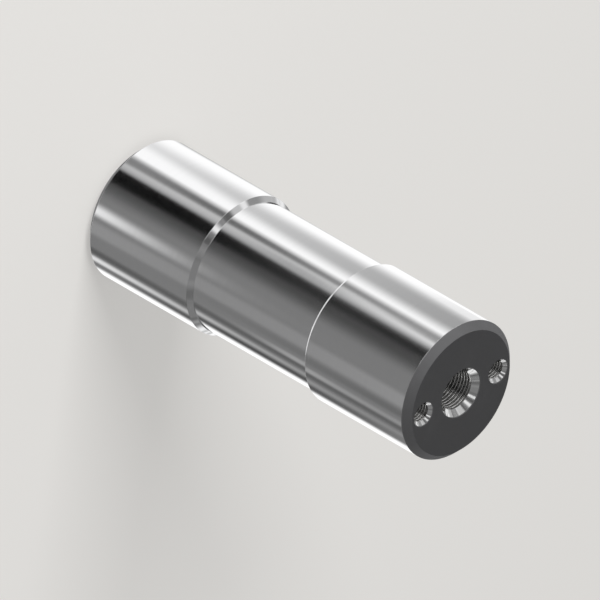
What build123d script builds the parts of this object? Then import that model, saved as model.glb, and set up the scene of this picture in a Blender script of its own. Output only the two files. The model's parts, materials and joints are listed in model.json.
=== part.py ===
from build123d import *
from math import radians, tan
import os

# A stepped shaft, turned from one steel bar: two equal bearing lands with a slimmer waist
# between them. Its plain end is chamfered. Its other end is chamfered too, and is tapped on
# the axis for a lifting or drawing screw, with a smaller tapped hole each side of it for the
# screws of a keeper plate.
# Millimetres. The shaft stands on its plain end: the origin is the centre of that face, and
# +Z runs up the axis to the tapped end. The three tapped holes lie in a row along X.

# Bar
land_diameter = 80.0  # the two lands, ground to one size
waist_step = 2.5  # how far the waist is turned down below the lands, on the radius
lower_land_length = 75.0  # from the plain end to the edge of the lower shoulder
waist_length = 87.5  # between the edges of the two shoulders, slopes included
upper_land_length = 75.0  # from the edge of the upper shoulder to the tapped end
end_chamfer = 4.0  # at 45 degrees, on both ends
shoulder_angle = 45.0  # slope of each shoulder, measured from the axis

# Tapped holes
countersink_angle = 90.0  # included angle at each mouth
drill_point_angle = 118.0  # included angle of the cone that the drill leaves
countersink_share = 1.2  # mouth of a countersink, in thread diameters
centre_thread_size = 24.0  # M24 x 2
centre_thread_pitch = 2.0
centre_drill_depth = 50.0  # from the end face down to where the drill's cone starts
keeper_thread_size = 12.0  # M12 x 1.75
keeper_thread_pitch = 1.75
keeper_drill_depth = 30.0
keeper_spacing = 55.0  # between the axes of the two keeper holes

# Sizes that follow
land_radius = land_diameter / 2
waist_radius = land_radius - waist_step
shoulder_length = waist_step / tan(radians(shoulder_angle))
lower_shoulder = lower_land_length
upper_shoulder = lower_land_length + waist_length
shaft_length = upper_shoulder + upper_land_length


def turned(half_section):
    """Solid turned about the axis from a closed half-section of (radius, height) corners."""
    with BuildPart() as solid:
        with BuildSketch(Plane.XZ):
            with BuildLine():
                Polyline(*half_section, close=True)
            make_face()
        revolve(axis=Axis.Z)
    return solid.part


def turned_bar():
    """The bar with its ends chamfered and its waist turned down."""
    return turned(
        [
            (0, 0),
            (land_radius - end_chamfer, 0),
            (land_radius, end_chamfer),
            (land_radius, lower_shoulder),
            (waist_radius, lower_shoulder + shoulder_length),
            (waist_radius, upper_shoulder - shoulder_length),
            (land_radius, upper_shoulder),
            (land_radius, shaft_length - end_chamfer),
            (land_radius - end_chamfer, shaft_length),
            (0, shaft_length),
        ]
    )


def tapping_hole(thread_size, pitch, depth):
    """What is cut away for one tapped hole that opens upwards at height 0.

    The wall is at the tapping drill's diameter, which is also where the thread's crests lie.
    """
    drill_radius = (thread_size - pitch) / 2
    mouth_radius = countersink_share * thread_size / 2
    countersink_depth = (mouth_radius - drill_radius) / tan(radians(countersink_angle / 2))
    point_depth = drill_radius / tan(radians(drill_point_angle / 2))
    return turned(
        [
            (0, 0),
            (mouth_radius, 0),
            (drill_radius, -countersink_depth),
            (drill_radius, -depth),
            (0, -depth - point_depth),
        ]
    )


centre_hole = tapping_hole(centre_thread_size, centre_thread_pitch, centre_drill_depth)
keeper_hole = tapping_hole(keeper_thread_size, keeper_thread_pitch, keeper_drill_depth)

with BuildPart() as shaft:
    add(turned_bar())
    with Locations((0, 0, shaft_length)):
        add(centre_hole, mode=Mode.SUBTRACT)
        with GridLocations(keeper_spacing, 0, 2, 1):
            add(keeper_hole, mode=Mode.SUBTRACT)

os.makedirs("parts", exist_ok=True)
export_step(shaft.part, "parts/stepped_shaft.step")
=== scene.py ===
"""Dresses a turned steel shaft: ground lands and waist, dark ends and three tapped holes, on a pale floor.

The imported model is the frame. The shaft is rebuilt over it as one closed mesh with rounded edges and
real helical threads, and its finishes are node materials.
"""

import json
import math

import bpy
from bpy.props import FloatProperty, FloatVectorProperty, IntProperty, PointerProperty
from mathutils import Matrix, Vector
from mathutils.geometry import tessellate_polygon


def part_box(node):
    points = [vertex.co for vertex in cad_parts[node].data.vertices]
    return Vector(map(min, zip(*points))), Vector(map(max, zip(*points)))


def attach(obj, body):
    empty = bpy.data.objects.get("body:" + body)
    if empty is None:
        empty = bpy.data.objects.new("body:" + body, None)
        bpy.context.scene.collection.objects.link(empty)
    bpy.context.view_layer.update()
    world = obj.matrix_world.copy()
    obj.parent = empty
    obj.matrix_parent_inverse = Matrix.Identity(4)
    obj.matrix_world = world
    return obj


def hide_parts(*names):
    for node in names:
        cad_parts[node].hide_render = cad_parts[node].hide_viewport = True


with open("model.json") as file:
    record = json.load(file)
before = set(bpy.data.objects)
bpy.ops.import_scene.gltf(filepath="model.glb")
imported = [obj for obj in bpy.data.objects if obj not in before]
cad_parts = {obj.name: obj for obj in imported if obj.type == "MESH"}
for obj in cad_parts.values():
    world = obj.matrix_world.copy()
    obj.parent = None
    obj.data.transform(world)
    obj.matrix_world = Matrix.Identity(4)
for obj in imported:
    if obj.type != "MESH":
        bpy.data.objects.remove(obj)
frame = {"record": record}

bl_info = {
    "name": "Stepped Shaft",
    "version": (1, 0, 0),
    "blender": (4, 5, 0),
    "location": "View3D > Sidebar > Shaft",
    "description": "Adds a stepped steel shaft with tapped holes in its end, and a stage to see it on",
    "category": "Add Mesh",
}

NODE = "stepped_shaft"
MM = 0.001
WHITE = (1.0, 1.0, 1.0)
UP = Vector((0.0, 0.0, 1.0))
DRILL_POINT_ANGLE = math.radians(118)
THREAD_FLANK_SLOPE = math.tan(math.radians(30))  # of a metric thread, from the radius
THREAD_ROOT_SHARE = 1 / 8  # width of the flat root, in pitches

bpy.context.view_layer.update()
FOOT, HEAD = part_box(NODE)
MOUNTS = {mount["name"]: mount for mount in frame["record"]["mounts"]}


def mount_radius(name):
    """Radius of a round mount, in metres."""
    dims = MOUNTS[name]["dims"]
    return dims.get("r_mm", dims.get("hole_r_mm")) * MM


def mount_end(name, end):
    """Height of a round mount's wall at its lower (-1) or upper (+1) end, in metres."""
    mount = MOUNTS[name]
    return mount["pos_m"][2] + end * mount["dims"]["length_mm"] * MM / 2


# Kinds of setting


def length_setting(name, description, default):
    """A length in metres."""
    return FloatProperty(name=name, description=description, default=default, unit="LENGTH")


def share_setting(name, description, default):
    """A share from 0 to 1."""
    return FloatProperty(name=name, description=description, default=default, subtype="FACTOR")


def colour_setting(name, description, default):
    """A colour."""
    return FloatVectorProperty(name=name, description=description, default=default, size=3, subtype="COLOR")


def count_setting(name, description, default, least):
    """A whole number of divisions."""
    return IntProperty(name=name, description=description, default=default, min=least)


# Sizes that the shaft, its stage and its camera share


class ShaftSizes(bpy.types.PropertyGroup):
    """The turned outside of the shaft."""

    length: length_setting("Length", "From the plain end to the tapped end", HEAD.z - FOOT.z)
    land_radius: length_setting("Land Radius", "Radius of both bearing lands", mount_radius("lower_land"))
    waist_step: length_setting("Waist Step", "How far the waist lies below the lands", 2.5 * MM)
    lower_shoulder: length_setting(
        "Lower Shoulder", "Height of the lower land's upper edge", mount_end("lower_land", +1)
    )
    upper_shoulder: length_setting(
        "Upper Shoulder", "Height of the upper land's lower edge", mount_end("upper_land", -1)
    )
    end_chamfer: length_setting(
        "End Chamfer", "Size of the 45 degree chamfer on each end", mount_end("lower_land", -1) - FOOT.z
    )
    edge_round: length_setting("Edge Round", "Radius that breaks each outer edge", 0.16 * MM)
    nose_round: length_setting(
        "Nose Round", "Radius that the turning tool leaves at the foot of each shoulder", 0.14 * MM
    )
    mouth_lip: length_setting(
        "Mouth Lip", "How deep the end's dark finish runs into each countersink", 0.35 * MM
    )
    segments: count_setting("Segments", "Divisions round the outside", 256, 32)


class CentreTapping(bpy.types.PropertyGroup):
    """The tapped hole on the axis."""

    thread_radius: length_setting("Thread Radius", "Radius to the roots of the thread", 12.0 * MM)
    drill_radius: length_setting(
        "Drill Radius",
        "Radius of the drilled wall, where the thread's crests lie",
        mount_radius("centre_tapping"),
    )
    mouth_radius: length_setting("Mouth Radius", "Radius of the countersink at the end face", 14.4 * MM)
    pitch: length_setting("Pitch", "Distance between turns of the thread", 2.0 * MM)
    thread_depth: length_setting("Thread Depth", "From the end face to the end of the thread", 44.0 * MM)
    drill_depth: length_setting(
        "Drill Depth",
        "From the end face to the start of the drill's cone",
        HEAD.z - mount_end("centre_tapping", -1),
    )
    offset: length_setting("Offset", "Distance of the hole from the shaft's axis", 0.0)
    segments: count_setting("Segments", "Divisions round the hole", 96, 16)
    rows_per_turn: count_setting("Rows Per Turn", "Divisions along one pitch of the thread", 14, 6)


class KeeperTapping(bpy.types.PropertyGroup):
    """The two smaller tapped holes beside it, for a keeper plate's screws."""

    thread_radius: length_setting("Thread Radius", "Radius to the roots of the thread", 6.0 * MM)
    drill_radius: length_setting(
        "Drill Radius",
        "Radius of the drilled wall, where the thread's crests lie",
        mount_radius("keeper_tappings"),
    )
    mouth_radius: length_setting("Mouth Radius", "Radius of the countersink at the end face", 7.2 * MM)
    pitch: length_setting("Pitch", "Distance between turns of the thread", 1.75 * MM)
    thread_depth: length_setting("Thread Depth", "From the end face to the end of the thread", 25.0 * MM)
    drill_depth: length_setting(
        "Drill Depth", "From the end face to the start of the drill's cone", 30.0 * MM
    )
    offset: length_setting(
        "Offset",
        "Distance of each hole from the shaft's axis",
        MOUNTS["keeper_tappings"]["dims"]["spacing_x_mm"] * MM / 2,
    )
    segments: count_setting("Segments", "Divisions round the hole", 64, 16)
    rows_per_turn: count_setting("Rows Per Turn", "Divisions along one pitch of the thread", 12, 6)


# Profiles: a list of stations (radius, height, normal outwards, normal upwards) along a turned outline


def rounded_profile(corners, rounds, steps=5):
    """Stations along an outline of (radius, height) corners, with each inner corner rounded to its radius.

    Going along the outline, the metal is on the left. The first and last corners stay as they are, and
    so does one with a radius of 0, which lies on a straight stretch.
    """
    stations = []

    def leg(start, end):
        """Direction of one leg and the normal that points out of the metal."""
        along = (Vector(end) - Vector(start)).normalized()
        return along, Vector((along.y, -along.x))

    along, normal = leg(corners[0], corners[1])
    stations.append((*corners[0], *normal))
    for index in range(1, len(corners) - 1):
        corner = Vector(corners[index])
        radius = rounds[index - 1]
        if radius == 0.0:
            stations.append((*corner, *normal))
            continue
        next_along, next_normal = leg(corners[index], corners[index + 1])
        turn = math.atan2(along.cross(next_along), along.dot(next_along))
        side = math.copysign(1.0, turn)
        centre = corner - along * radius * math.tan(abs(turn) / 2) - normal * radius * side
        for step in range(steps + 1):
            outwards = Matrix.Rotation(turn * step / steps, 2) @ normal
            point = centre + outwards * radius * side
            stations.append((*point, *outwards))
        along, normal = next_along, next_normal
    stations.append((*corners[-1], *normal))
    return stations


def outside_corners(sizes):
    """Corners of the shaft's outside, from the centre of the plain end to the rim of the tapped end."""
    land = sizes.land_radius
    waist = land - sizes.waist_step
    chamfer = sizes.end_chamfer
    step = sizes.waist_step
    return [
        (0.0, 0.0),
        (land - chamfer, 0.0),
        (land, chamfer),
        (land, sizes.lower_shoulder),
        (waist, sizes.lower_shoulder + step),
        (waist, sizes.upper_shoulder - step),
        (land, sizes.upper_shoulder),
        (land, sizes.length - chamfer),
        (land - chamfer, sizes.length),
        (land - chamfer - 4 * sizes.edge_round, sizes.length),
    ]


def clamp(share):
    """A share kept between 0 and 1."""
    return min(max(share, 0.0), 1.0)


def thread_radius_at(tap, angle, depth):
    """Radius of the thread's surface at an angle round the hole and a depth below the end face."""
    full = tap.thread_radius - tap.drill_radius
    flank = full * THREAD_FLANK_SLOPE
    root = tap.pitch * THREAD_ROOT_SHARE
    phase = (-depth / tap.pitch - angle / math.tau) % 1.0
    from_root = abs(phase - 0.5) * tap.pitch
    cut = clamp((root / 2 + flank - from_root) / flank)
    run_in = clamp((depth - tap.mouth_radius + tap.drill_radius) / (tap.pitch / 2))
    run_out = clamp((tap.thread_depth - depth) / tap.pitch)
    return tap.drill_radius + full * cut * min(run_in, run_out)


class MeshParts:
    """Vertices, normals, faces and face materials of a mesh in the making."""

    def __init__(self):
        self.points = []
        self.normals = []
        self.grooves = []
        self.faces = []
        self.finishes = []

    def add_point(self, point, normal, groove=0.0):
        """Adds a vertex, at a depth in a thread's groove. A normal of None comes from the faces."""
        self.points.append(point)
        self.normals.append(normal)
        self.grooves.append(groove)
        return len(self.points) - 1

    def add_face(self, corners, finish):
        """Adds a face with its finish."""
        self.faces.append(corners)
        self.finishes.append(finish)

    def add_ring(self, centre_x, station, segments, radius_at=None):
        """A ring of vertices round an upright axis at centre_x."""
        radius, height, outwards, upwards = station
        ring = []
        for index in range(segments):
            angle = math.tau * index / segments
            across = Vector((math.cos(angle), math.sin(angle), 0.0))
            normal = across * outwards + UP * upwards
            reach = radius
            if radius_at:
                reach = max(radius, radius_at(angle))
                normal = None
            point = Vector((centre_x, 0.0, height)) + across * reach
            ring.append(self.add_point(point, normal, (reach - radius) / MM))
        return ring

    def join_rings(self, lower, upper, finish):
        """Quads between two rings of as many vertices."""
        count = len(lower)
        for index in range(count):
            after = (index + 1) % count
            self.add_face((lower[index], lower[after], upper[after], upper[index]), finish)

    def close_ring(self, apex, ring, finish, flip=False):
        """Triangles from a ring to a point on its axis."""
        count = len(ring)
        for index in range(count):
            first, second = ring[index], ring[(index + 1) % count]
            self.add_face((apex, first, second) if flip else (apex, second, first), finish)

    def to_mesh(self, name, materials):
        """The finished mesh, smooth, with the normals that were given."""
        mesh = bpy.data.meshes.new(name)
        mesh.from_pydata(self.points, [], self.faces)
        mesh.update()
        for material in materials:
            mesh.materials.append(material)
        mesh.polygons.foreach_set("material_index", self.finishes)
        mesh.polygons.foreach_set("use_smooth", [True] * len(self.faces))
        from_faces = [vertex.vector.copy() for vertex in mesh.vertex_normals]
        mesh.attributes.new("groove_mm", "FLOAT", "POINT").data.foreach_set("value", self.grooves)
        mesh.normals_split_custom_set_from_vertices(
            [given or found for given, found in zip(self.normals, from_faces)]
        )
        return mesh


GROUND, DARK, CUT, TAPPED = range(4)


def add_outside(parts, sizes):
    """Turns the outside of the shaft. Returns the ring that bounds the tapped end face."""
    edge, nose = sizes.edge_round, sizes.nose_round
    rounds = [edge, edge, edge, nose, nose, edge, edge, edge]
    centre, first, *others = rounded_profile(outside_corners(sizes), rounds)
    apex = parts.add_point(UP * centre[1], -UP)
    last = parts.add_ring(0.0, first, sizes.segments)
    parts.close_ring(apex, last, DARK)
    height = first[1]
    for station in others:
        ring = parts.add_ring(0.0, station, sizes.segments)
        middle = (station[1] + height) / 2
        on_land_or_waist = sizes.end_chamfer <= middle <= sizes.length - sizes.end_chamfer
        parts.join_rings(last, ring, GROUND if on_land_or_waist else DARK)
        last = ring
        height = station[1]
    return last


def tapping_stations(tap, sizes):
    """Stations of a hole from the end face inwards, with its wall plain."""
    top = sizes.length
    drill, mouth, edge = tap.drill_radius, tap.mouth_radius, sizes.edge_round
    countersink = mouth - drill
    point = drill / math.tan(DRILL_POINT_ANGLE / 2)
    lip = sizes.mouth_lip
    corners = [
        (mouth + 2 * edge, top),
        (mouth, top),
        (mouth - lip, top - lip),
        (drill, top - countersink),
        (drill, top - tap.drill_depth),
        (0.0, top - tap.drill_depth - point),
    ]
    return rounded_profile(corners, [edge, 0.0, edge / 4, edge])


def add_tapping(parts, tap, sizes, centre_x):
    """Adds a countersunk, threaded and drilled hole. Returns the ring that bounds it on the end face."""
    top = sizes.length
    stations = tapping_stations(tap, sizes)
    thread_top = top - (tap.mouth_radius - tap.drill_radius)
    thread_end = top - tap.thread_depth
    row = tap.pitch / tap.rows_per_turn
    rows = int((thread_top - thread_end) / row)
    threaded = [(tap.drill_radius, thread_top - row * index, -1.0, 0.0) for index in range(1, rows + 1)]
    spare = row / 4
    mouth, *countersink = [station for station in stations if station[1] > thread_top - spare]
    *wall, point = [station for station in stations if station[1] < threaded[-1][1] - spare]
    lip_end = top - 1.5 * sizes.mouth_lip  # between the lip's own station and the next one
    rim = last = parts.add_ring(centre_x, mouth, tap.segments)
    for station in countersink:
        ring = parts.add_ring(centre_x, station, tap.segments)
        parts.join_rings(last, ring, DARK if station[1] > lip_end else CUT)
        last = ring
    for station in threaded:
        depth = top - station[1]
        ring = parts.add_ring(
            centre_x, station, tap.segments, lambda angle: thread_radius_at(tap, angle, depth)
        )
        parts.join_rings(last, ring, TAPPED)
        last = ring
    for station in wall:
        ring = parts.add_ring(centre_x, station, tap.segments)
        parts.join_rings(last, ring, TAPPED)
        last = ring
    tip = parts.add_point(Vector((centre_x, 0.0, point[1])), UP)
    parts.close_ring(tip, last, TAPPED, flip=True)
    return rim


def fill_end_face(parts, rim, holes):
    """Fills the flat end face between its rim and the holes."""
    loops = [[parts.points[index] for index in loop] for loop in (rim, *holes)]
    order = [index for loop in (rim, *holes) for index in loop]
    for triangle in tessellate_polygon(loops):
        corners = [order[index] for index in triangle]
        first, second, third = (parts.points[index] for index in corners)
        if (second - first).cross(third - first).z < 0:
            corners.reverse()
        parts.add_face(tuple(corners), DARK)


def add_object(name, data):
    """A new object in the scene that holds a mesh, a light or a camera."""
    made = bpy.data.objects.new(name, data)
    bpy.context.scene.collection.objects.link(made)
    return made


# Node helpers


def add_node(tree, kind, **settings):
    """A new node of a kind, with its settings."""
    node = tree.nodes.new(kind)
    for name, value in settings.items():
        setattr(node, name, value)
    return node


def feed(tree, socket, value):
    """Links a socket to another one, or gives it a value."""
    if isinstance(value, bpy.types.NodeSocket):
        tree.links.new(value, socket)
    else:
        socket.default_value = value


def feed_in_order(tree, node, *values):
    """Feeds a node's inputs from the first one on. Returns its first output, if it has one."""
    for socket, value in zip(node.inputs, values):
        feed(tree, socket, value)
    return node.outputs[0] if node.outputs else None


def calculate(tree, operation, *values, use_clamp=False):
    """The result of one Math node."""
    node = add_node(tree, "ShaderNodeMath", operation=operation, use_clamp=use_clamp)
    return feed_in_order(tree, node, *values)


def ramp(tree, value, low, high, at_low=0.0, at_high=1.0):
    """A smooth step from one value to another."""
    node = add_node(tree, "ShaderNodeMapRange", interpolation_type="SMOOTHSTEP")
    return feed_in_order(tree, node, value, low, high, at_low, at_high)


def split(tree, place):
    """The X, Y and Z of a vector."""
    node = add_node(tree, "ShaderNodeSeparateXYZ")
    tree.links.new(place, node.inputs[0])
    return node.outputs


def from_axis(tree, place):
    """Distance from the shaft's axis of a place given as X, Y and Z."""
    square = calculate(tree, "MULTIPLY", place["X"], place["X"])
    square = calculate(tree, "MULTIPLY_ADD", place["Y"], place["Y"], square)
    return calculate(tree, "SQRT", square)


def add_noise(tree, place, **values):
    """Noise in space."""
    node = add_node(tree, "ShaderNodeTexNoise")
    for name, value in dict(values, vector=place).items():
        feed(tree, node.inputs[name.title()], value)
    return node.outputs[0]


def add_line_noise(tree, along, **values):
    """Noise along one direction only."""
    node = add_node(tree, "ShaderNodeTexNoise", noise_dimensions="1D")
    for name, value in dict(values, w=along).items():
        feed(tree, node.inputs[name.title()], value)
    return node.outputs[0]


def shade(colour, share=1.0):
    """A colour times a share, as a socket takes it."""
    return (*(channel * share for channel in colour), 1.0)


def blend_colours(tree, factor, first, second):
    """A mix of two colours."""
    node = add_node(tree, "ShaderNodeMix", data_type="RGBA")
    feed(tree, node.inputs["Factor"], factor)
    colours = [socket for socket in node.inputs if socket.type == "RGBA"]
    feed(tree, colours[0], first)
    feed(tree, colours[1], second)
    return next(socket for socket in node.outputs if socket.type == "RGBA")


def new_group(name, inputs, outputs):
    """An empty shader node group. Inputs are (name, default) pairs, where a default of None is a vector."""
    tree = bpy.data.node_groups.new(name, "ShaderNodeTree")
    for title, default in inputs:
        kind = "NodeSocketVector" if default is None else "NodeSocketFloat"
        socket = tree.interface.new_socket(title, in_out="INPUT", socket_type=kind)
        if default is not None:
            socket.default_value = default
    for title in outputs:
        tree.interface.new_socket(title, in_out="OUTPUT", socket_type="NodeSocketFloat")
    return tree, add_node(tree, "NodeGroupInput").outputs, add_node(tree, "NodeGroupOutput").inputs


def place_group(tree, maker, **values):
    """The group that a maker makes once, with its values. Underscores in their names stand for spaces."""
    group = bpy.data.node_groups.get(maker.__name__.removeprefix("make_")) or maker()
    node = add_node(tree, "ShaderNodeGroup", node_tree=group)
    for name, value in values.items():
        feed(tree, node.inputs[name.replace("_", " ").title()], value)
    return node.outputs


def new_material(name, **settings):
    """A material with a Principled shader that has the given constant settings."""
    material = bpy.data.materials.new(name)
    material.use_nodes = True
    shader = material.node_tree.nodes["Principled BSDF"]
    for title, value in settings.items():
        shader.inputs[title.replace("_", " ")].default_value = value
    return material, material.node_tree, shader


# Effects that several finishes share


def make_tool_marks():
    """Fine rings that a cutting edge or a grinding wheel leaves round an axis.

    Radius Share is 1 for marks on a flat end and 0 for marks along the length.
    """
    inputs = [("Position", None), ("Radius Share", 0.0), ("Lines Per Mm", 3.0), ("Unevenness", 0.5)]
    tree, given, result = new_group("tool_marks", inputs, ["Height", "Streaks"])
    place = split(tree, given["Position"])
    along = calculate(tree, "MULTIPLY_ADD", from_axis(tree, place), given["Radius Share"], place["Z"])
    in_mm = calculate(tree, "DIVIDE", along, MM)
    lines = calculate(tree, "MULTIPLY", in_mm, given["Lines Per Mm"])
    fine = add_line_noise(tree, lines, detail=1.0)
    broad = add_line_noise(tree, lines, scale=0.11, detail=3.0)
    depth = calculate(tree, "MULTIPLY", broad, given["Unevenness"])
    uneven = calculate(tree, "ADD", depth, calculate(tree, "SUBTRACT", 1.0, given["Unevenness"]))
    tree.links.new(calculate(tree, "MULTIPLY", fine, uneven), result["Height"])
    tree.links.new(broad, result["Streaks"])
    return tree


def make_handling():
    """Cloudy patches where a wiped or handled surface is a little duller."""
    inputs = [("Position", None), ("Patch Size", 0.03), ("Cover", 0.5)]
    tree, given, result = new_group("handling", inputs, ["Patches", "Grain"])
    scale = calculate(tree, "DIVIDE", 1.0, given["Patch Size"])
    cloud = add_noise(tree, given["Position"], scale=scale, detail=4.0, distortion=0.6)
    low = calculate(tree, "SUBTRACT", 0.9, given["Cover"])
    tree.links.new(ramp(tree, cloud, low, calculate(tree, "ADD", low, 0.35)), result["Patches"])
    grain = add_noise(tree, given["Position"], scale=2600.0, detail=2.0)
    tree.links.new(grain, result["Grain"])
    return tree


def make_edge_wear():
    """A broken band of wear along a turned edge at a given radius and height."""
    inputs = [
        ("Position", None),
        ("Edge Radius", 40 * MM),
        ("Edge Height", 0.0),
        ("Width", 0.3 * MM),
        ("Raggedness", 0.5),
    ]
    tree, given, result = new_group("edge_wear", inputs, ["Wear"])
    place = split(tree, given["Position"])
    radial = calculate(tree, "SUBTRACT", from_axis(tree, place), given["Edge Radius"])
    upright = calculate(tree, "SUBTRACT", place["Z"], given["Edge Height"])
    square = calculate(tree, "MULTIPLY_ADD", upright, upright, calculate(tree, "MULTIPLY", radial, radial))
    away = calculate(tree, "SQRT", square)
    nicks = add_noise(tree, given["Position"], scale=420.0, detail=3.0)
    ragged = calculate(tree, "MULTIPLY_ADD", nicks, given["Raggedness"], 1.0)
    ragged = calculate(tree, "MULTIPLY_ADD", given["Raggedness"], -0.5, ragged)
    reach = calculate(tree, "MULTIPLY", given["Width"], ragged)
    tree.links.new(ramp(tree, away, calculate(tree, "MULTIPLY", reach, 0.3), reach, 1.0, 0.0), result["Wear"])
    return tree


def position(tree):
    """The place on the shaft, in metres from the centre of its plain end."""
    return add_node(tree, "ShaderNodeTexCoord").outputs["Object"]


def add_relief(tree, shader, height, distance):
    """Raises the surface by a height of 0 to 1 times a distance."""
    relief = add_node(tree, "ShaderNodeBump")
    relief.inputs["Distance"].default_value = distance
    tree.links.new(height, relief.inputs["Height"])
    tree.links.new(relief.outputs["Normal"], shader.inputs["Normal"])


class FinishSettings(bpy.types.PropertyGroup):
    """Colours and roughness of the steel's finishes."""

    ground_colour: colour_setting(
        "Ground Colour", "Colour of the ground lands and waist", (0.80, 0.80, 0.805)
    )
    ground_roughness: share_setting("Ground Roughness", "Roughness of the ground lands and waist", 0.08)
    cut_colour: colour_setting("Cut Colour", "Colour of the bright countersinks", (0.80, 0.80, 0.80))
    cut_roughness: share_setting("Cut Roughness", "Roughness of the countersinks", 0.07)
    thread_colour: colour_setting(
        "Thread Colour", "Colour of the tapped threads near the mouth", (0.70, 0.695, 0.685)
    )
    thread_roughness: share_setting("Thread Roughness", "Roughness of the tapped threads", 0.19)
    dark_colour: colour_setting("Dark Colour", "Colour of the blackened ends", (0.178, 0.178, 0.182))
    dark_roughness: share_setting("Dark Roughness", "Roughness of the blackened ends", 0.55)
    dark_metal: share_setting("Dark Metal", "How much bare metal shows through the blackening", 0.7)


def make_ground_steel(finish):
    """Ground and polished steel: mirror-like, with very fine rings and faint wiped patches."""
    material, tree, shader = new_material("ground_steel", Metallic=1.0)
    where = position(tree)
    marks = place_group(tree, make_tool_marks, position=where, lines_per_mm=4.0, unevenness=0.6)
    handling = place_group(tree, make_handling, position=where, patch_size=0.045, cover=0.35)
    colour = finish.ground_colour
    mix = blend_colours(tree, marks["Streaks"], shade(colour, 0.97), shade(colour))
    tree.links.new(mix, shader.inputs["Base Color"])
    streaked = calculate(tree, "MULTIPLY_ADD", marks["Streaks"], 0.02, finish.ground_roughness - 0.01)
    roughness = calculate(tree, "MULTIPLY_ADD", handling["Patches"], 0.015, streaked)
    tree.links.new(roughness, shader.inputs["Roughness"])
    add_relief(tree, shader, marks["Height"], 0.0004 * MM)
    return material


def make_cut_steel(finish):
    """Bright countersunk steel with the rings that the cutter left."""
    material, tree, shader = new_material("cut_steel", Metallic=1.0)
    where = position(tree)
    marks = place_group(tree, make_tool_marks, position=where, lines_per_mm=5.0, unevenness=0.5)
    handling = place_group(tree, make_handling, position=where, patch_size=0.006, cover=0.5)
    colour = finish.cut_colour
    mix = blend_colours(tree, handling["Patches"], shade(colour), shade(colour, 0.93))
    tree.links.new(mix, shader.inputs["Base Color"])
    roughness = calculate(tree, "MULTIPLY_ADD", handling["Patches"], 0.04, finish.cut_roughness)
    tree.links.new(roughness, shader.inputs["Roughness"])
    add_relief(tree, shader, marks["Height"], 0.002 * MM)
    return material


def make_tapped_steel(finish, top):
    """Tapped steel with painted shade: its colour darkens in the thread roots and, blotchily, deeper in the
    hole.
    """
    material, tree, shader = new_material("tapped_steel", Metallic=1.0)
    where = position(tree)
    handling = place_group(tree, make_handling, position=where, patch_size=0.004, cover=0.5)
    # Painted shade: the colour darkens deeper in the hole, with blotches, and darkest in the thread roots.
    depth = ramp(tree, split(tree, where)["Z"], top - 50 * MM, top - 20 * MM, 0.35, 0.0)
    groove = add_node(tree, "ShaderNodeAttribute", attribute_name="groove_mm")
    painted_shade = ramp(tree, groove.outputs["Fac"], 0.6, 1.15, 0.0, 0.8)
    painted_shade = calculate(tree, "MAXIMUM", painted_shade, calculate(tree, "MULTIPLY_ADD", handling["Patches"], 0.15, depth))
    colour = finish.thread_colour
    tree.links.new(blend_colours(tree, painted_shade, shade(colour), shade(colour, 0.12)), shader.inputs["Base Color"])
    roughness = calculate(tree, "MULTIPLY_ADD", handling["Grain"], 0.10, finish.thread_roughness - 0.05)
    tree.links.new(roughness, shader.inputs["Roughness"])
    return material


def make_dark_end(finish, sizes):
    """Blackened steel on the faced ends and their chamfers, with facing marks and slightly worn edges."""
    material, tree, shader = new_material("dark_end", Specular_IOR_Level=0.4)
    where = position(tree)
    marks = place_group(
        tree, make_tool_marks, position=where, radius_share=1.37, lines_per_mm=2.2, unevenness=0.6
    )
    handling = place_group(tree, make_handling, position=where, patch_size=0.022, cover=0.45)
    colour = finish.dark_colour
    mix = blend_colours(tree, handling["Patches"], shade(colour), shade(colour, 1.12))
    worn = 0.0
    for height in (sizes.end_chamfer, sizes.length - sizes.end_chamfer):
        wear = place_group(
            tree,
            make_edge_wear,
            position=where,
            edge_radius=sizes.land_radius,
            edge_height=height,
            width=0.2 * MM,
            raggedness=1.0,
        )
        worn = calculate(tree, "ADD", worn, wear["Wear"], use_clamp=True)
    bare = shade(finish.ground_colour, 0.4)
    tree.links.new(blend_colours(tree, worn, mix, bare), shader.inputs["Base Color"])
    metal = calculate(tree, "MAXIMUM", worn, finish.dark_metal)
    tree.links.new(metal, shader.inputs["Metallic"])
    streaked = calculate(tree, "MULTIPLY_ADD", marks["Streaks"], 0.06, finish.dark_roughness - 0.03)
    tree.links.new(streaked, shader.inputs["Roughness"])
    add_relief(tree, shader, marks["Height"], 0.003 * MM)
    return material


class SHAFT_OT_add_shaft(bpy.types.Operator):
    """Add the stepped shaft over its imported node"""

    bl_idname = "shaft.add_shaft"
    bl_label = "Add Shaft"

    def execute(self, context):
        scene = context.scene
        sizes, centre, keeper = scene.shaft_sizes, scene.centre_tapping, scene.keeper_tapping
        finish = scene.shaft_finish
        parts = MeshParts()
        rim = add_outside(parts, sizes)
        holes = [add_tapping(parts, centre, sizes, centre.offset)]
        for side in (-1, 1):
            holes.append(add_tapping(parts, keeper, sizes, side * keeper.offset))
        fill_end_face(parts, rim, holes)
        materials = [
            make_ground_steel(finish),
            make_dark_end(finish, sizes),
            make_cut_steel(finish),
            make_tapped_steel(finish, sizes.length),
        ]
        mesh = parts.to_mesh("shaft", materials)
        shaft = add_object("shaft", mesh)
        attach(shaft, "root")
        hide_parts(NODE)
        return {"FINISHED"}


# The stage: a floor, a key light, a camera, and a round tent of light cards that only the metal mirrors


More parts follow.
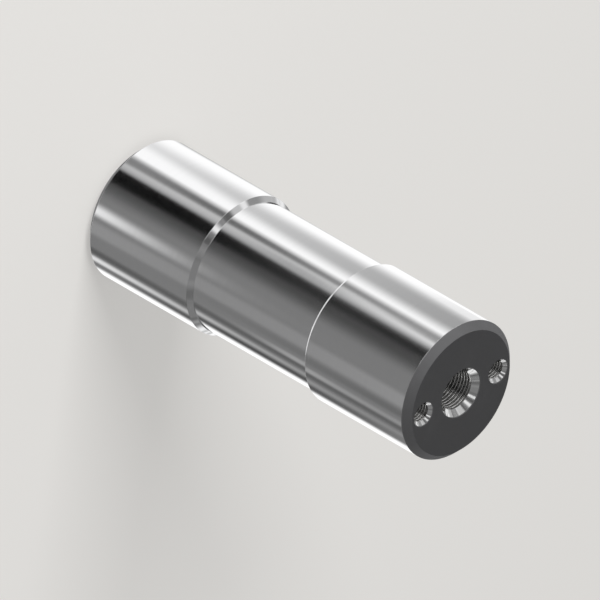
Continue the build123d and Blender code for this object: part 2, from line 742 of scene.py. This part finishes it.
class StageSettings(bpy.types.PropertyGroup):
    """The floor, the lights and the camera."""

    floor_colour: colour_setting("Floor Colour", "Colour of the plain floor", (0.84, 0.825, 0.80))
    floor_size: length_setting("Floor Size", "Side of the square floor", 12.0)
    backdrop_share: share_setting(
        "Backdrop Share",
        "How much of the floor the camera sees as plain backdrop, which lightens its shadow",
        0.5,
    )
    sky_level: FloatProperty(
        name="Sky Level",
        description="Brightness of the even light from all round",
        default=0.32,
    )
    key_power: FloatProperty(
        name="Key Power",
        description="Power of the soft key light",
        default=150.0,
        unit="POWER",
    )
    key_size: length_setting("Key Size", "Side of the square key light", 2.0)
    tent_radius: length_setting("Tent Radius", "Radius of the round tent of light cards", 1.5)
    tent_tone: share_setting("Tent Tone", "How light the tent's wall looks between its cards", 0.465)
    view_width: length_setting("View Width", "Width of what the camera sees", 0.3129)


CAMERA_TURN = Vector((1.0, -1.0, 1.0))  # from the shaft towards the camera
CAMERA_TOP = Vector((-1.0, -2.0, -1.0))  # what the top of the view leans towards
CAMERA_SIDE = math.radians(-45)
CAMERA_RISE = math.atan(math.sqrt(0.5))
KEY_PLACE = dict(azimuth=40, rise=32, distance=4.0)

TENT_GLOW = 1.25  # strength of the wall's glow where its tone is 1
TONE_POWER = 2.2  # tones are written as the eye sees them
TENT_HEIGHT_SHARE = 2.2  # the tent's head above the floor and its foot below, in radii
TENT_SEGMENTS = 96
SEAM_SHARE = 0.06  # height, in radii, of the seam between the lower walls and the upper ones
LOWER_HEAD_SHARE = 0.77  # depth of the lower cards' head, in radii
MIRROR_REACH = 0.7  # how far from the axis the metal mirrors on average, in land radii
EDGE_SOFT = 8.0  # softness, in degrees, of a card's upright edges where it says no other

# Light cards and dark flags hang on the tent's wall in this order, each over the last. Azimuths are in
# degrees round the shaft from the camera's side, and grow towards the side that the view shows uppermost.
# Feet and heads are heights in metres. Lean and low shift are what a card's edges and level gain from the
# height that the tapped end mirrors down to the height that the plain end mirrors, and middle shift is
# what its level gains halfway.
SIDE_CARDS = (
    dict(start=-200, end=-142, end_soft=14, level=0.98),
    dict(start=-137, end=-126, level=0.52, start_lean=1, end_lean=-5,
         low_shift=-0.04, middle_shift=-0.21, flag=True),
    dict(start=-121.5, end=-114, start_soft=9, end_soft=9, level=0.52, start_lean=-5, low_shift=0.36),
    dict(start=-109, end=-100, start_soft=9, level=0.375, end_lean=1, low_shift=-0.03, flag=True),
    dict(start=-106, end=-97.5, end_soft=7, level=0.39, head=-0.915, rim_soft=0.05, flag=True),
    dict(start=-99, end=-91, start_soft=6, end_soft=7, level=0.55, foot=-0.915, rim_soft=0.05),
    dict(start=-99, end=-91, start_soft=6, end_soft=7, level=0.64, foot=-0.905, head=-0.865, rim_soft=0.04),
    dict(start=-83, end=-72, start_soft=7, end_soft=9, level=0.40, low_shift=0.1, middle_shift=0.02,
         flag=True),
    dict(start=-67, end=-46, start_soft=9, end_soft=10, level=0.55, start_lean=-7, end_lean=-8,
         middle_shift=-0.025),
    dict(start=-43.5, end=-28, start_soft=11, end_soft=14, level=0.13, low_shift=0.89),
    dict(start=-4, end=28.4, start_soft=28, end_soft=13, level=0.28, end_lean=2, flag=True),
    dict(start=17, end=28.4, start_soft=13, end_soft=13, level=0.17, start_lean=-3, end_lean=2,
         middle_shift=0.03, flag=True),
    dict(start=16, end=28.4, start_soft=15, end_soft=13, level=0.30, start_lean=-2, end_lean=2,
         low_shift=-0.56, flag=True),
    dict(start=18, end=33.5, end_soft=12, level=0.04, head=-0.955, rim_soft=0.04, flag=True),
    dict(start=38, end=66, start_soft=10, end_soft=12, level=0.61, low_shift=-0.08),
    dict(start=36.7, end=52, start_soft=16, end_soft=12, level=0.86, start_lean=1, end_lean=-2,
         low_shift=-0.14, middle_shift=-0.08),
    dict(start=34, end=46, start_soft=6, end_soft=10, level=0.60, foot=-0.93, head=-0.872, rim_soft=0.04,
         flag=True),
    dict(start=52, end=58, level=0.58, start_lean=-4, end_lean=1,
         low_shift=-0.08, middle_shift=-0.06, flag=True),
    dict(start=51, end=58.5, end_soft=7, level=0.375, foot=-0.99, head=-0.915, rim_soft=0.05, flag=True),
    dict(start=46, end=59, level=0.58, foot=-0.825, rim_soft=0.03, flag=True),
    dict(start=61, end=176, start_soft=12, end_soft=40, level=0.985, start_lean=3, end_lean=-11),
    dict(start=76, end=121, start_soft=24, end_soft=36, level=0.61, start_lean=19, end_lean=-9,
         low_shift=0.24, middle_shift=0.06, flag=True),
    dict(start=118, end=150, start_soft=20, level=0.90, foot=-0.845, rim_soft=0.03, flag=True),
)
# Above the seam hang the cards that the shoulder and the countersinks mirror. The countersinks mirror the
# wall a little higher than the shoulder does, so a foot or a head leaves a card to one of them.
UPPER_CARDS = (
    dict(start=-200, end=-133.5, end_soft=10, level=0.94),
    dict(start=-200, end=-127.5, end_soft=14, level=0.92, foot=0.42),
    dict(start=-92, end=-78, level=0.40, flag=True),
    dict(start=-73, end=-65, start_soft=6, end_soft=6, level=0.50),
    dict(start=-37, end=-26, end_soft=6, level=0.41, foot=2.0, flag=True),
    dict(start=-20.5, end=-6, start_soft=6, end_soft=6, level=0.92, foot=2.22),
    dict(start=3, end=16, level=0.34, flag=True),
    dict(start=24, end=42.5, start_soft=9, end_soft=14, level=0.90),
    dict(start=5, end=28, end_soft=9, level=0.42, head=2.10, flag=True),
    dict(start=56, end=69, end_soft=6, level=0.36, flag=True),
    dict(start=70.5, end=98, start_soft=9, end_soft=10, level=0.73),
    dict(start=66.5, end=90, end_soft=10, level=0.73, foot=1.60),
    dict(start=86, end=96, end_soft=6, level=0.90, head=1.18),
    dict(start=94, end=125, end_soft=10, level=0.545),
    dict(start=117, end=200, start_soft=14, level=0.69),
    dict(start=139.5, end=200, level=0.97),
    dict(start=133.5, end=200, start_soft=9, level=0.97, foot=0.33),
)
# Below what the lands mirror hang the cards that the upper shoulder mirrors by way of the waist.
LOWER_CARDS = (
    dict(start=-94, end=-12, start_soft=10, end_soft=10, level=0.93, foot=-2.0),
    dict(start=-14, end=40, start_soft=12, end_soft=12, level=0.98, foot=-2.0),
    dict(start=44, end=94, start_soft=12, end_soft=10, level=1.0, foot=-1.8),
)
# Between what the lands and what the cones mirror, the wall shows only in the sheen of the blackened end, in
# the threads and from other sides: light on the camera's upper side, and dark between bands behind.
MIDDLE_CARDS = (
    dict(start=4, end=52, start_soft=16, level=1.0, foot=-0.62, head=1.70),
    dict(start=48, end=74, level=1.0, foot=-0.62, head=1.25),
    dict(start=70, end=92, end_soft=12, level=1.0, foot=-0.62, head=0.95),
    dict(start=-118, end=-60, start_soft=12, end_soft=12, level=0.12, foot=0.12, head=0.55, flag=True),
    dict(start=-95, end=-60, end_soft=12, level=0.12, foot=0.12, head=0.95, flag=True),
    dict(start=-100, end=-84, start_soft=10, end_soft=10, level=0.30, foot=-0.62, head=0.10, flag=True),
    dict(start=-150, end=-134, end_soft=10, level=0.25, foot=-0.62, head=-0.05, flag=True),
    dict(start=-178, end=-160, end_soft=10, level=0.62, foot=-0.62, head=0.10, flag=True),
    dict(start=152, end=168, end_soft=10, level=0.55, foot=-0.62, head=0.10, flag=True),
    dict(start=126, end=142, end_soft=10, level=0.28, foot=-0.62, head=-0.05, flag=True),
    dict(start=-200, end=200, level=0.20, foot=2.55, flag=True),
    dict(start=30, end=84, start_soft=20, end_soft=16, level=0.74, foot=2.55),
    dict(start=78, end=150, start_soft=16, end_soft=20, level=0.70, foot=1.8),
    dict(start=-84, end=-30, start_soft=16, end_soft=20, level=0.50, foot=2.55),
    dict(start=-150, end=-78, start_soft=20, end_soft=16, level=0.45, foot=1.8),
)
# The blackened end face mirrors the wall behind the shaft, so that wall is dark above what the countersinks
# mirror. The cards on it are what they mirror twice. Each hangs on both sides.
BACK_CARDS = (
    dict(start=153, end=200, level=0.10, foot=0.10, flag=True),
    dict(start=104, end=200, start_soft=12, level=0.22, foot=1.15, flag=True),
    dict(start=118, end=200, start_soft=10, level=0.22, foot=0.75, flag=True),
    dict(start=94, end=113, start_soft=6, end_soft=6, level=1.0, foot=1.24, head=1.98),
    dict(start=107, end=123, start_soft=6, end_soft=6, level=1.0, foot=1.03, head=1.24),
    dict(start=122, end=131, start_soft=6, end_soft=6, level=1.0, foot=0.86, head=1.03),
)


def on_both_sides(cards):
    """The cards, each with its mirror image across the camera's side."""
    hung = []
    for card in cards:
        mirrored = dict(card, start=-card["end"], end=-card["start"])
        mirrored["start_soft"] = card.get("end_soft", EDGE_SOFT)
        mirrored["end_soft"] = card.get("start_soft", EDGE_SOFT)
        hung += [card, mirrored]
    return hung


def make_light_card():
    """One card or flag on the tent's wall: how light the wall looks with it hung over what was there."""
    inputs = [
        ("Tone", 0.5),
        ("Azimuth", 0.0),
        ("Height", 0.0),
        ("Low", 0.0),
        ("Middle", 0.0),
        ("Start", -10.0),
        ("End", 10.0),
        ("Start Soft", EDGE_SOFT),
        ("End Soft", EDGE_SOFT),
        ("Level", 1.0),
        ("Start Lean", 0.0),
        ("End Lean", 0.0),
        ("Low Shift", 0.0),
        ("Middle Shift", 0.0),
        ("Foot", -9.0),
        ("Head", 9.0),
        ("Rim Soft", 0.1),
        ("Darken", -1.0),
        ("Lighten", 1.0),
    ]
    tree, given, result = new_group("light_card", inputs, ["Tone"])

    def edge(place, at, softness):
        """Rises from 0 to 1 across a soft edge."""
        half = calculate(tree, "MULTIPLY", softness, 0.5)
        inwards = calculate(tree, "SUBTRACT", place, at)
        return ramp(tree, inwards, calculate(tree, "MULTIPLY", half, -1.0), half)

    start = calculate(tree, "MULTIPLY_ADD", given["Start Lean"], given["Low"], given["Start"])
    end = calculate(tree, "MULTIPLY_ADD", given["End Lean"], given["Low"], given["End"])
    level = calculate(tree, "MULTIPLY_ADD", given["Low Shift"], given["Low"], given["Level"])
    level = calculate(tree, "MULTIPLY_ADD", given["Middle Shift"], given["Middle"], level, use_clamp=True)
    cover = edge(given["Azimuth"], start, given["Start Soft"])
    cover = calculate(tree, "MULTIPLY", cover, edge(end, given["Azimuth"], given["End Soft"]))
    cover = calculate(tree, "MULTIPLY", cover, edge(given["Height"], given["Foot"], given["Rim Soft"]))
    cover = calculate(tree, "MULTIPLY", cover, edge(given["Head"], given["Height"], given["Rim Soft"]))
    change = calculate(tree, "SUBTRACT", level, given["Tone"])
    change = calculate(tree, "MAXIMUM", change, given["Darken"])
    change = calculate(tree, "MINIMUM", change, given["Lighten"])
    tree.links.new(calculate(tree, "MULTIPLY_ADD", change, cover, given["Tone"]), result["Tone"])
    return tree


def hang_cards(tree, tone, places, cards, **height_limits):
    """Hangs cards over a tone, each over the last. A flag only darkens what it covers, a card lightens it."""
    for card in cards:
        values = dict(height_limits, **places)
        values.update(card)
        flag = values.pop("flag", False)
        values.update(dict(darken=-1.0, lighten=0.0) if flag else dict(darken=0.0, lighten=1.0))
        tone = place_group(tree, make_light_card, tone=tone, **values)["Tone"]
    return tone


def make_tent_material(stage, sizes):
    """Glow of the tent's wall, from its cards."""
    material = bpy.data.materials.new("light_tent")
    material.use_nodes = True
    material.cycles.emission_sampling = "NONE"
    tree = material.node_tree
    tree.nodes.clear()
    place = split(tree, position(tree))
    mirrored = calculate(tree, "MULTIPLY", place["Y"], -1.0)
    azimuth = calculate(tree, "DEGREES", calculate(tree, "ARCTAN2", mirrored, place["X"]))
    height = place["Z"]
    drop = (stage.tent_radius - MIRROR_REACH * sizes.land_radius) * math.tan(CAMERA_RISE)
    raised = calculate(tree, "ADD", height, drop)
    up_the_shaft = calculate(tree, "DIVIDE", raised, sizes.length, use_clamp=True)
    down = calculate(tree, "SUBTRACT", 1.0, up_the_shaft)
    low = calculate(tree, "MULTIPLY", down, down)
    middle = calculate(tree, "MULTIPLY", calculate(tree, "MULTIPLY", up_the_shaft, down), 4.0)
    places = dict(azimuth=azimuth, height=height, low=low, middle=middle)
    seam = SEAM_SHARE * stage.tent_radius
    lower_head = -LOWER_HEAD_SHARE * stage.tent_radius
    tone = stage.tent_tone
    tone = hang_cards(tree, tone, places, SIDE_CARDS, head=seam, rim_soft=2 * seam)
    tone = hang_cards(tree, tone, places, LOWER_CARDS, head=lower_head, rim_soft=seam)
    tone = hang_cards(tree, tone, places, UPPER_CARDS, foot=seam, rim_soft=seam)
    tone = hang_cards(tree, tone, places, MIDDLE_CARDS, rim_soft=seam)
    tone = hang_cards(tree, tone, places, on_both_sides(BACK_CARDS), rim_soft=seam)
    brightness = calculate(tree, "MULTIPLY", calculate(tree, "POWER", tone, TONE_POWER), TENT_GLOW)
    glow = feed_in_order(tree, add_node(tree, "ShaderNodeEmission"), brightness)
    feed_in_order(tree, add_node(tree, "ShaderNodeOutputMaterial"), glow)
    return material


def add_tent(stage, sizes):
    """A closed drum round the shaft, seen only in the metal, which mirrors it in place of the floor."""
    parts = MeshParts()
    head = TENT_HEIGHT_SHARE * stage.tent_radius
    foot = -head
    rings = [
        parts.add_ring(0.0, (stage.tent_radius, height, -1.0, 0.0), TENT_SEGMENTS) for height in (foot, head)
    ]
    parts.join_rings(*rings, 0)
    for height, ring, flip in ((foot, rings[0], False), (head, rings[1], True)):
        parts.close_ring(parts.add_point(UP * height, UP), ring, 0, flip)
    tent = add_object("light_tent", parts.to_mesh("light_tent", [make_tent_material(stage, sizes)]))
    tent.rotation_euler.z = CAMERA_SIDE
    for ray in ("camera", "diffuse", "transmission", "volume_scatter", "shadow"):
        setattr(tent, "visible_" + ray, False)


def make_floor_material(stage):
    """Plain pale paint, barely mottled. The camera sees it partly as backdrop, so its shadow is faint."""
    material, tree, shader = new_material("floor", Roughness=0.9, Specular_IOR_Level=0.0)
    mottle = add_noise(tree, position(tree), scale=1.5)
    paint = blend_colours(tree, mottle, shade(stage.floor_colour, 0.985), shade(stage.floor_colour))
    tree.links.new(paint, shader.inputs["Base Color"])
    plain = feed_in_order(tree, add_node(tree, "ShaderNodeEmission"), paint)
    share = calculate(tree, "MULTIPLY", seen_as_backdrop(tree), stage.backdrop_share)
    mix = feed_in_order(tree, add_node(tree, "ShaderNodeMixShader"), share, shader.outputs[0], plain)
    tree.links.new(mix, tree.nodes["Material Output"].inputs["Surface"])
    return material


def add_floor(stage):
    """A plain square floor under the shaft."""
    half = stage.floor_size / 2
    corners = [(-half, -half, 0.0), (half, -half, 0.0), (half, half, 0.0), (-half, half, 0.0)]
    mesh = bpy.data.meshes.new("floor")
    mesh.from_pydata(corners, [], [(0, 1, 2, 3)])
    mesh.materials.append(make_floor_material(stage))
    floor = add_object("floor", mesh)
    floor.visible_glossy = False


def seen_as_backdrop(tree):
    """1 for the rays that see the backdrop itself: from the camera, a mirror or glass."""
    path = add_node(tree, "ShaderNodeLightPath")
    seen = calculate(tree, "MAXIMUM", path.outputs["Is Camera Ray"], path.outputs["Is Glossy Ray"])
    return calculate(tree, "MAXIMUM", seen, path.outputs["Is Transmission Ray"])


def add_sky(stage):
    """Even light from all round. The camera sees the floor's colour beyond the floor."""
    world = bpy.data.worlds.new("studio")
    bpy.context.scene.world = world
    world.use_nodes = True
    tree = world.node_tree
    sky = feed_in_order(tree, tree.nodes["Background"], shade(WHITE), stage.sky_level)
    seen = feed_in_order(tree, add_node(tree, "ShaderNodeBackground"), shade(stage.floor_colour))
    mix = feed_in_order(tree, add_node(tree, "ShaderNodeMixShader"), seen_as_backdrop(tree), sky, seen)
    tree.links.new(mix, tree.nodes["World Output"].inputs["Surface"])


def aim(thing, spot, target, up):
    """Puts a light or camera at a spot, looking at a target with one direction upwards."""
    back = (spot - target).normalized()
    right = up.cross(back).normalized()
    turn = Matrix((right, back.cross(right), back)).transposed().to_4x4()
    thing.matrix_world = Matrix.Translation(spot) @ turn


def from_camera_side(azimuth, rise, distance):
    """A spot at an azimuth from the camera's side and a rise above the floor, both in degrees."""
    turn, rise = CAMERA_SIDE - math.radians(azimuth), math.radians(rise)
    level = math.cos(rise)
    return Vector((level * math.cos(turn), level * math.sin(turn), math.sin(rise))) * distance


def add_key(stage, middle):
    """The soft key light. The tent's cards stand in for it in the metal."""
    light = bpy.data.lights.new("key", "AREA")
    light.energy = stage.key_power
    light.size = stage.key_size
    key = add_object("key", light)
    aim(key, middle + from_camera_side(**KEY_PLACE), middle, UP)
    key.visible_glossy = False


def add_camera(stage, middle):
    """An isometric view without perspective, turned so that the shaft lies slanting across it."""
    lens = bpy.data.cameras.new("camera")
    lens.type = "ORTHO"
    lens.ortho_scale = stage.view_width
    camera = add_object("camera", lens)
    aim(camera, middle + CAMERA_TURN.normalized(), middle, CAMERA_TOP)
    return camera


class SHAFT_OT_add_stage(bpy.types.Operator):
    """Add the floor, the light tent, the key light and the camera"""

    bl_idname = "shaft.add_stage"
    bl_label = "Add Stage"

    def execute(self, context):
        scene = context.scene
        stage, sizes = scene.shaft_stage, scene.shaft_sizes
        add_floor(stage)
        add_sky(stage)
        add_tent(stage, sizes)
        middle = UP * sizes.length / 2
        add_key(stage, middle)
        scene.camera = add_camera(stage, middle)
        scene.view_settings.view_transform = "Standard"
        return {"FINISHED"}


class SHAFT_PT_panel(bpy.types.Panel):
    """Buttons that add the shaft and its stage"""

    bl_idname = "SHAFT_PT_panel"
    bl_label = "Stepped Shaft"
    bl_space_type = "VIEW_3D"
    bl_region_type = "UI"
    bl_category = "Shaft"

    def draw(self, context):
        self.layout.operator(SHAFT_OT_add_shaft.bl_idname)
        self.layout.operator(SHAFT_OT_add_stage.bl_idname)


CLASSES = (
    ShaftSizes,
    CentreTapping,
    KeeperTapping,
    FinishSettings,
    StageSettings,
    SHAFT_OT_add_shaft,
    SHAFT_OT_add_stage,
    SHAFT_PT_panel,
)
SETTINGS = {
    "shaft_sizes": ShaftSizes,
    "centre_tapping": CentreTapping,
    "keeper_tapping": KeeperTapping,
    "shaft_finish": FinishSettings,
    "shaft_stage": StageSettings,
}


def register():
    for listed in CLASSES:
        bpy.utils.register_class(listed)
    for name, group in SETTINGS.items():
        setattr(bpy.types.Scene, name, PointerProperty(type=group))


def unregister():
    for name in SETTINGS:
        delattr(bpy.types.Scene, name)
    for listed in reversed(CLASSES):
        bpy.utils.unregister_class(listed)


def main():
    """Builds everything."""
    register()
    bpy.ops.shaft.add_shaft()
    bpy.ops.shaft.add_stage()


if __name__ == "__main__":
    main()
